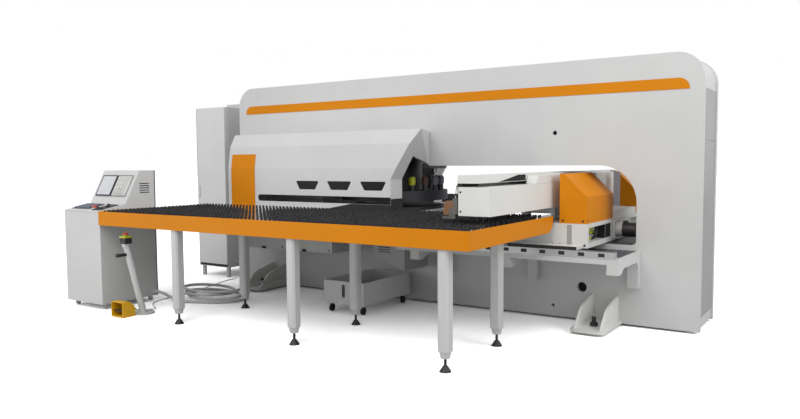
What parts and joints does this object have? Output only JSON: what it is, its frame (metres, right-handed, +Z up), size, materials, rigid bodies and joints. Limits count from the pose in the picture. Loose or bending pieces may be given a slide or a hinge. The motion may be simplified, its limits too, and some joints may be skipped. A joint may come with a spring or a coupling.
{
  "type": "cnc turret punch press",
  "caption": "Closed-frame turret punch press with a sheet table, a cross beam with clamps, hoods over the turret, a control console, a cabinet and a foot pedal.",
  "frame": {"origin": "on the floor at the middle of the whole installation's outline", "axes": "+X along the frame from the turret end to the drive end, +Y from the operator's side to the rear, +Z up"},
  "size_m": [5.88, 4.648, 2.25],
  "materials": {
    "frame_paint": "satin",
    "white_paint": "satin",
    "dark_paint": "satin",
    "orange_paint": "satin",
    "grey_paint": "satin",
    "black_paint": "satin",
    "yellow_plastic": "satin",
    "bare_steel": "ground",
    "dark_steel": "ground",
    "bronze": "satin",
    "punch_green": "satin",
    "smoked_glass": "clear",
    "bristle": "fibrous",
    "black_plastic": "satin",
    "grey_plastic": "satin",
    "red_plastic": "gloss",
    "rubber_black": "matte",
    "grey_hose": "satin",
    "white_lead": "satin",
    "black_lead": "matte"
  },
  "bodies": {
    "machine": {"main_frame": "frame_paint", "frame_end_covers": "frame_paint", "accent_stripe": "orange_paint", "levelling_brackets": "frame_paint", "levelling_feet": "black_paint", "saddle_ledges": "frame_paint", "guide_rails": "dark_steel", "turret_base": "dark_steel", "turret_hub": "dark_steel", "ram_housing": "grey_paint", "hood_front": "frame_paint", "hood_rear": "frame_paint", "hood_windows": "smoked_glass", "hood_accent": "orange_paint", "table_front": "bare_steel", "table_rear": "bare_steel", "table_fascias": "orange_paint", "brush_rows": "bristle", "centre_table": "bare_steel", "lower_cover": "frame_paint", "scrap_chute": "grey_paint", "cabinet_body": "frame_paint", "cabinet_drives": "grey_paint", "console_body": "frame_paint", "console_rear_cover": "black_paint", "console_screen": "dark_paint", "console_keypad": "grey_plastic", "console_keyboard": "grey_plastic", "pedestal_post": "frame_paint", "pedestal_box": "black_plastic", "pedestal_lid": "yellow_plastic", "pedal_guard": "yellow_plastic", "conduit": "grey_hose", "pedal_lead": "black_lead", "cabinet_lead": "white_lead"},
    "saddle_unit": {"saddle": "white_paint", "drive_covers": "orange_paint", "saddle_motor": "black_paint", "cable_chain": "grey_plastic", "cross_beam": "black_paint", "beam_cover": "white_paint", "cable_tray": "white_paint"},
    "clamp_bar": {"clamp_carriage": "dark_steel"},
    "jaw_one": {"clamp_jaw_1": "bronze"},
    "jaw_two": {"clamp_jaw_2": "bronze"},
    "jaw_three": {"clamp_jaw_3": "bronze"},
    "upper_disc": {"upper_turret": "bare_steel", "punches": "punch_green"},
    "lower_disc": {"lower_turret": "bare_steel"},
    "striker_ram": {"striker": "bare_steel"},
    "door": {"cabinet_door": "frame_paint"},
    "console_stop": {"console_stop_button": "red_plastic"},
    "pedestal_stop": {"pedestal_stop_button": "red_plastic"},
    "pedal": {"foot_pedal": "black_plastic"},
    "cart": {"scrap_cart": "frame_paint", "cart_casters": "rubber_black"},
    "caster_one": {"console_caster_1": "rubber_black"},
    "caster_two": {"console_caster_2": "rubber_black"},
    "caster_three": {"console_caster_3": "rubber_black"},
    "caster_four": {"console_caster_4": "rubber_black"}
  },
  "joints": [
    {"name": "saddle_slide", "type": "slide", "parent": "machine", "child": "saddle_unit", "axis": [-1, 0, 0], "range_m": [0, 1]},
    {"name": "carriage_slide", "type": "slide", "parent": "saddle_unit", "child": "clamp_bar", "axis": [0, 1, 0], "range_m": [0, 2.2]},
    {"name": "upper_turret_turn", "type": "hinge", "parent": "machine", "child": "upper_disc", "pos_m": [-0.17, 0.04, 1.055], "axis": [0, 0, 1], "continuous": true},
    {"name": "lower_turret_turn", "type": "hinge", "parent": "machine", "child": "lower_disc", "pos_m": [-0.17, 0.04, 0.895], "axis": [0, 0, 1], "continuous": true},
    {"name": "striker_stroke", "type": "slide", "parent": "machine", "child": "striker_ram", "axis": [0, 0, -1], "range_m": [0, 0.03]},
    {"name": "cabinet_door_hinge", "type": "hinge", "parent": "machine", "child": "door", "pos_m": [-2.432, -0.252, 1.1], "axis": [0, 0, 1], "range_deg": [0, 100]},
    {"name": "console_stop_press", "type": "slide", "parent": "machine", "child": "console_stop", "axis": [0, 0, -1], "range_m": [0, 0.005]},
    {"name": "pedestal_stop_press", "type": "slide", "parent": "machine", "child": "pedestal_stop", "axis": [0, 0, -1], "range_m": [0, 0.005]},
    {"name": "pedal_hinge", "type": "hinge", "parent": "machine", "child": "pedal", "pos_m": [-1.64, -2.216, 0.038], "axis": [1, 0, 0], "range_deg": [0, 12], "stiffness_Nm_per_rad": 8, "springref_deg": -5.73},
    {"name": "cart_roll", "type": "slide", "parent": "machine", "child": "cart", "axis": [0, -1, 0], "range_m": [0, 0.9]},
    {"name": "clamp_jaw_1_hinge", "type": "hinge", "parent": "clamp_bar", "child": "jaw_one", "pos_m": [1.52495, -1.735, 1.04], "axis": [0, 1, 0], "range_deg": [-3, 10]},
    {"name": "clamp_jaw_2_hinge", "type": "hinge", "parent": "clamp_bar", "child": "jaw_two", "pos_m": [1.52495, -1.07, 1.04], "axis": [0, 1, 0], "range_deg": [-3, 10]},
    {"name": "clamp_jaw_3_hinge", "type": "hinge", "parent": "clamp_bar", "child": "jaw_three", "pos_m": [1.52495, -0.405, 1.04], "axis": [0, 1, 0], "range_deg": [-3, 10]},
    {"name": "console_caster_1_swivel", "type": "hinge", "parent": "machine", "child": "caster_one", "pos_m": [-2.517, -2.162, 0.05], "axis": [0, 0, 1], "continuous": true},
    {"name": "console_caster_2_swivel", "type": "hinge", "parent": "machine", "child": "caster_two", "pos_m": [-2.065, -2.162, 0.05], "axis": [0, 0, 1], "continuous": true},
    {"name": "console_caster_3_swivel", "type": "hinge", "parent": "machine", "child": "caster_three", "pos_m": [-2.517, -1.65, 0.05], "axis": [0, 0, 1], "continuous": true},
    {"name": "console_caster_4_swivel", "type": "hinge", "parent": "machine", "child": "caster_four", "pos_m": [-2.065, -1.65, 0.05], "axis": [0, 0, 1], "continuous": true}
  ],
  "couplings": [
    {"joint": "lower_turret_turn", "follows": "upper_turret_turn", "ratio": 1},
    {"joint": "clamp_jaw_2_hinge", "follows": "clamp_jaw_1_hinge", "ratio": 1},
    {"joint": "clamp_jaw_3_hinge", "follows": "clamp_jaw_1_hinge", "ratio": 1}
  ]
}
